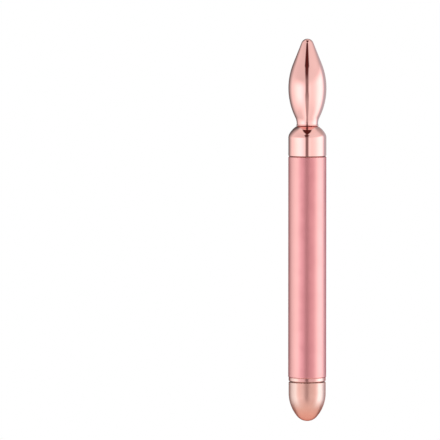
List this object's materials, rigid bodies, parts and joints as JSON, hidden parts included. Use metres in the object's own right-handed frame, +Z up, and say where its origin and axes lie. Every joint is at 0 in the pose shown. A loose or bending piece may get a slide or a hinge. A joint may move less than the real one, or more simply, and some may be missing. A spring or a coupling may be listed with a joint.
{
  "type": "heated eye massager wand",
  "caption": "Slim battery wand with a warm flame shaped metal head for massaging round the eyes, a vibrating motor in its tube and a bullet shaped screw cap.",
  "frame": {"origin": "middle of the tube's held length, on the tube's axis", "axes": "+Z runs up the tube's axis to the tip of the massaging head, +Y is the side that the board's coil and earth clip face, +X completes a right-handed frame"},
  "size_m": [0.0164, 0.0164, 0.1661],
  "materials": {
    "rose_plating": "polished",
    "anodised_tube": "satin",
    "ring_plating": "polished",
    "champagne_plating": "polished",
    "dark_rubber": "matte",
    "turned_brass": "satin",
    "nickel_steel": "satin",
    "moulded_carrier": "matte",
    "amber_film": "gloss",
    "board_laminate": "satin",
    "black_moulding": "matte",
    "ferrite": "matte",
    "capacitor_can": "satin",
    "magnet_ferrite": "matte",
    "laminated_steel": "satin",
    "heater_ceramic": "matte",
    "bead_glass": "gloss",
    "red_lead": "satin",
    "white_lead": "satin",
    "cell_jacket": "gloss"
  },
  "bodies": {
    "handle": {"massage_head": "rose_plating", "collar": "rose_plating", "head_washer": "dark_rubber", "collar_gasket": "dark_rubber", "body_tube": "anodised_tube", "tail_ring": "ring_plating", "head_nut": "nickel_steel", "heater_core": "heater_ceramic", "thermistor": "bead_glass", "heater_leads": "red_lead", "thermistor_leads": "white_lead", "carrier_front": "moulded_carrier", "carrier_back": "moulded_carrier", "circuit_board": "board_laminate", "control_chip": "black_moulding", "boost_coil": "ferrite", "capacitor": "capacitor_can", "positive_contact": "nickel_steel", "earth_clip": "nickel_steel", "motor_can": "nickel_steel", "motor_end_bell": "black_moulding", "motor_bush": "turned_brass", "magnet_left": "magnet_ferrite", "magnet_right": "magnet_ferrite", "terminal_positive": "turned_brass", "terminal_negative": "turned_brass", "insulating_sleeve": "amber_film"},
    "rotor": {"motor_shaft": "nickel_steel", "armature": "laminated_steel", "eccentric_weight": "turned_brass"},
    "cell": {"battery": "cell_jacket"},
    "seal": {"cap_seal": "dark_rubber"},
    "cap": {"end_cap": "champagne_plating", "cap_insert": "turned_brass", "spring_plate": "nickel_steel", "battery_spring": "nickel_steel"}
  },
  "joints": [
    {"name": "rotor_spin", "type": "hinge", "parent": "handle", "child": "rotor", "pos_m": [0, 0, 0.04], "axis": [0, 0, 1], "continuous": true},
    {"name": "cell_and_cap_draw", "type": "slide", "parent": "handle", "child": "cell", "axis": [0, 0, -1], "range_m": [0, 0.062]},
    {"name": "cap_thread_travel", "type": "slide", "parent": "cell", "child": "seal", "axis": [0, 0, -1], "range_m": [0, 0.0045], "deforming": ["battery_spring"]},
    {"name": "cap_twist", "type": "hinge", "parent": "seal", "child": "cap", "pos_m": [0, 0, -0.05], "axis": [0, 0, -1], "range_deg": [0, 1620]}
  ],
  "couplings": [
    {"joint": "cap_thread_travel", "follows": "cap_twist", "m_per_rad": 0.00015915}
  ]
}
